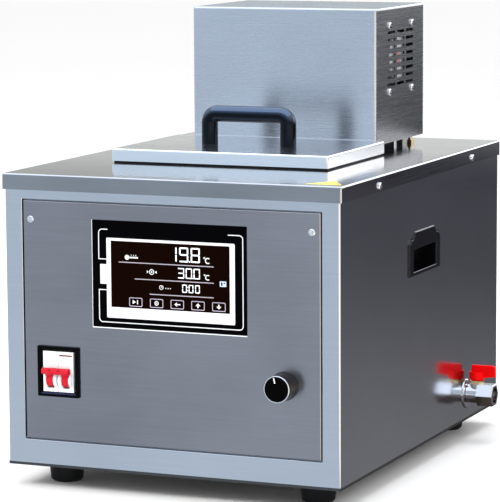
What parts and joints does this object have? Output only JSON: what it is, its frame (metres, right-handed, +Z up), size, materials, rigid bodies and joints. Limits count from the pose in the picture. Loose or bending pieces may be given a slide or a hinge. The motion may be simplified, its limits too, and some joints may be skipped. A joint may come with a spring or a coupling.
{
  "type": "water bath",
  "caption": "Stirred, heated laboratory water bath: folded steel box with a lift-off lid, raised pump housing, front controls, side grips and a drain valve.",
  "frame": {"origin": "on the bench, under the middle of the housing's 380 by 514 mm footprint", "axes": "+Z up, -Y towards the front panel, +X to the right, on the drain valve's side"},
  "size_m": [0.4196, 0.5404, 0.499],
  "materials": {
    "brushed_steel": "fine directional brushing, satin",
    "pan_steel": "satin black",
    "tank_steel": "semi-bright",
    "zinc_steel": "zinc plated",
    "screw_steel": "bright plated",
    "insulation_foam": "closed-cell foam",
    "gasket_rubber": "matte",
    "foot_rubber": "matte",
    "black_gloss": "polished",
    "black_plastic": "fine moulded texture",
    "white_plastic": "satin moulded",
    "red_plastic": "glossy moulded",
    "nickel": "nickel plated",
    "brass": "turned",
    "seat_plastic": "smooth",
    "hose_rubber": "matte",
    "circuit_board": "satin board",
    "motor_casting": "satin",
    "pot_metal": "turned",
    "impeller_plastic": "moulded",
    "relay_plastic": "moulded",
    "yellow_label": "printed film"
  },
  "bodies": {
    "housing": {"body_shell": "brushed_steel", "front_panel": "brushed_steel", "rear_panel": "brushed_steel", "deck_plate": "brushed_steel", "motor_cover": "brushed_steel", "base_pan": "pan_steel", "tank": "tank_steel", "pump_tube": "tank_steel", "heater_element": "tank_steel", "temperature_probe": "tank_steel", "bulkhead": "zinc_steel", "pump_base_plate": "zinc_steel", "base_plate_posts": "zinc_steel", "front_panel_screws": "screw_steel", "rear_panel_screws": "screw_steel", "deck_screws": "screw_steel", "motor_cover_screws": "screw_steel", "fan_screws": "screw_steel", "foot_screws": "screw_steel", "inlet_screws": "screw_steel", "potentiometer_nut": "screw_steel", "tank_insulation": "insulation_foam", "cover_seal": "gasket_rubber", "foot_front_left": "foot_rubber", "foot_front_right": "foot_rubber", "foot_rear_left": "foot_rubber", "foot_rear_right": "foot_rubber", "display_overlay": "black_gloss", "carry_handle_right": "black_plastic", "carry_handle_left": "black_plastic", "breaker_bezel": "black_plastic", "power_inlet": "black_plastic", "fan_frame": "black_plastic", "breaker_body": "white_plastic", "drain_valve_body": "nickel", "drain_flange": "nickel", "drain_gland_nut": "brass", "heater_nuts": "brass", "probe_gland": "brass", "drain_seats": "seat_plastic", "drain_pipe": "hose_rubber", "control_board": "circuit_board", "display_module": "circuit_board", "pump_motor": "motor_casting", "potentiometer": "pot_metal", "solid_state_relay": "relay_plastic", "deck_label": "yellow_label"},
    "lid": {"lid": "brushed_steel", "lid_gasket": "gasket_rubber", "lid_handle": "black_gloss", "lid_handle_screws": "screw_steel"},
    "toggle": {"breaker_toggle": "red_plastic"},
    "knob": {"speed_knob": "black_plastic", "knob_cap": "black_plastic", "knob_shaft": "pot_metal"},
    "valve": {"drain_lever": "red_plastic", "drain_stem": "nickel", "drain_ball": "nickel"},
    "fan": {"fan_rotor": "white_plastic"},
    "pump": {"pump_shaft": "tank_steel", "pump_impeller": "impeller_plastic"}
  },
  "joints": [
    {"name": "lid_lift", "type": "slide", "parent": "housing", "child": "lid", "axis": [0, 0, 1], "range_m": [0, 0.15]},
    {"name": "breaker_switch", "type": "hinge", "parent": "housing", "child": "toggle", "pos_m": [-0.1289, -0.2543, 0.119], "axis": [1, 0, 0], "range_deg": [0, 80]},
    {"name": "speed_knob_turn", "type": "hinge", "parent": "housing", "child": "knob", "pos_m": [0.1285, -0.257, 0.1292], "axis": [0, 1, 0], "range_deg": [-135, 165]},
    {"name": "drain_lever_turn", "type": "hinge", "parent": "housing", "child": "valve", "pos_m": [0.2025, 0.147, 0.0549], "axis": [0, 0, 1], "range_deg": [0, 90]},
    {"name": "fan_spin", "type": "hinge", "parent": "housing", "child": "fan", "pos_m": [0.101, 0.132, 0.441], "axis": [1, 0, 0], "continuous": true},
    {"name": "pump_spin", "type": "hinge", "parent": "housing", "child": "pump", "pos_m": [-0.02, 0.132, 0.25], "axis": [0, 0, 1], "continuous": true}
  ]
}
